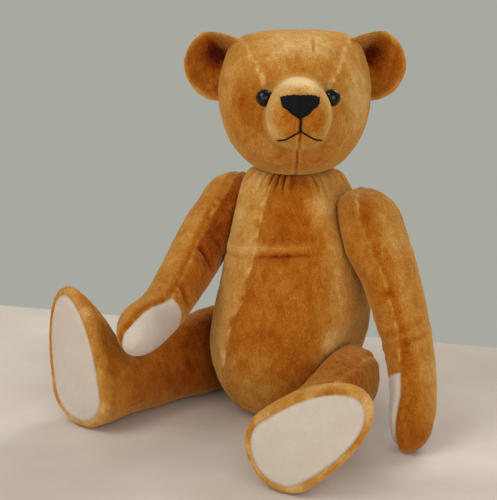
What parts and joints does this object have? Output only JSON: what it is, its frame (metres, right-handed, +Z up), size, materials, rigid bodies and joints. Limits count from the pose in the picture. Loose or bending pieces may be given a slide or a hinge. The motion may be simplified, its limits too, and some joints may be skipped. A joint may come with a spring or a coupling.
{
  "type": "jointed teddy bear",
  "caption": "Seated plush bear with disc-and-bolt joints at neck, shoulders and hips, felt paw pads and soles, cupped ears and a stitched nose.",
  "frame": {"origin": "middle of the flat seat of the body, on the surface the bear sits on", "axes": "+Z up, -Y to the front of the bear's body, +X to the bear's left"},
  "size_m": [0.2816, 0.2115, 0.2917],
  "materials": {
    "plush": "short golden-amber velvet pile",
    "felt": "cream wool felt",
    "wadding": "loose polyester filling",
    "hardboard": "plain hardboard",
    "steel": "zinc-plated",
    "thread": "black cotton embroidery thread, slight lustre",
    "eye_glass": "black glass, polished"
  },
  "bodies": {
    "torso": {"body_left_panel": "plush", "body_right_panel": "plush", "body_stuffing": "wadding", "back_closing_stitches": "thread", "neck_drawstring": "thread", "body_washers": "steel", "neck_body_disc": "hardboard", "shoulder_left_body_disc": "hardboard", "shoulder_right_body_disc": "hardboard", "hip_left_body_disc": "hardboard", "hip_right_body_disc": "hardboard"},
    "head": {"head_gusset": "plush", "head_left_panel": "plush", "head_right_panel": "plush", "head_stuffing": "wadding", "ear_left_front": "plush", "ear_left_back": "plush", "ear_right_front": "plush", "ear_right_back": "plush", "eye_left": "eye_glass", "eye_right": "eye_glass", "nose": "thread", "mouth": "thread", "neck_head_disc": "hardboard", "neck_washer": "steel", "neck_bolt": "steel", "neck_nut": "steel"},
    "arm_left": {"arm_left_outer_panel": "plush", "arm_left_inner_panel": "plush", "arm_left_paw_pad": "felt", "arm_left_stuffing": "wadding", "shoulder_left_arm_disc": "hardboard", "shoulder_left_washer": "steel", "shoulder_left_bolt": "steel", "shoulder_left_nut": "steel"},
    "arm_right": {"arm_right_outer_panel": "plush", "arm_right_inner_panel": "plush", "arm_right_paw_pad": "felt", "arm_right_stuffing": "wadding", "shoulder_right_arm_disc": "hardboard", "shoulder_right_washer": "steel", "shoulder_right_bolt": "steel", "shoulder_right_nut": "steel"},
    "leg_left": {"leg_left_outer_panel": "plush", "leg_left_inner_panel": "plush", "leg_left_foot_pad": "felt", "leg_left_stuffing": "wadding", "hip_left_leg_disc": "hardboard", "hip_left_washer": "steel", "hip_left_bolt": "steel", "hip_left_nut": "steel"},
    "leg_right": {"leg_right_outer_panel": "plush", "leg_right_inner_panel": "plush", "leg_right_foot_pad": "felt", "leg_right_stuffing": "wadding", "hip_right_leg_disc": "hardboard", "hip_right_washer": "steel", "hip_right_bolt": "steel", "hip_right_nut": "steel"}
  },
  "joints": [
    {"name": "neck", "type": "hinge", "parent": "torso", "child": "head", "pos_m": [0, 0, 0.185], "axis": [0, 0, 1], "continuous": true},
    {"name": "shoulder_left", "type": "hinge", "parent": "torso", "child": "arm_left", "pos_m": [0.046, 0.008, 0.146], "axis": [0.9183, 0.0642, 0.3907], "range_deg": [-20, 130]},
    {"name": "shoulder_right", "type": "hinge", "parent": "torso", "child": "arm_right", "pos_m": [-0.046, 0.008, 0.146], "axis": [-0.9686, -0.2059, 0.1392], "range_deg": [-10, 62]},
    {"name": "hip_left", "type": "hinge", "parent": "torso", "child": "leg_left", "pos_m": [0.044, -0.018, 0.0382], "axis": [-0.9285, -0.0976, 0.3584], "range_deg": [-210, 30]},
    {"name": "hip_right", "type": "hinge", "parent": "torso", "child": "leg_right", "pos_m": [-0.049, -0.012, 0.035], "axis": [-0.9806, 0.1378, -0.1392], "range_deg": [-225, 18]}
  ]
}
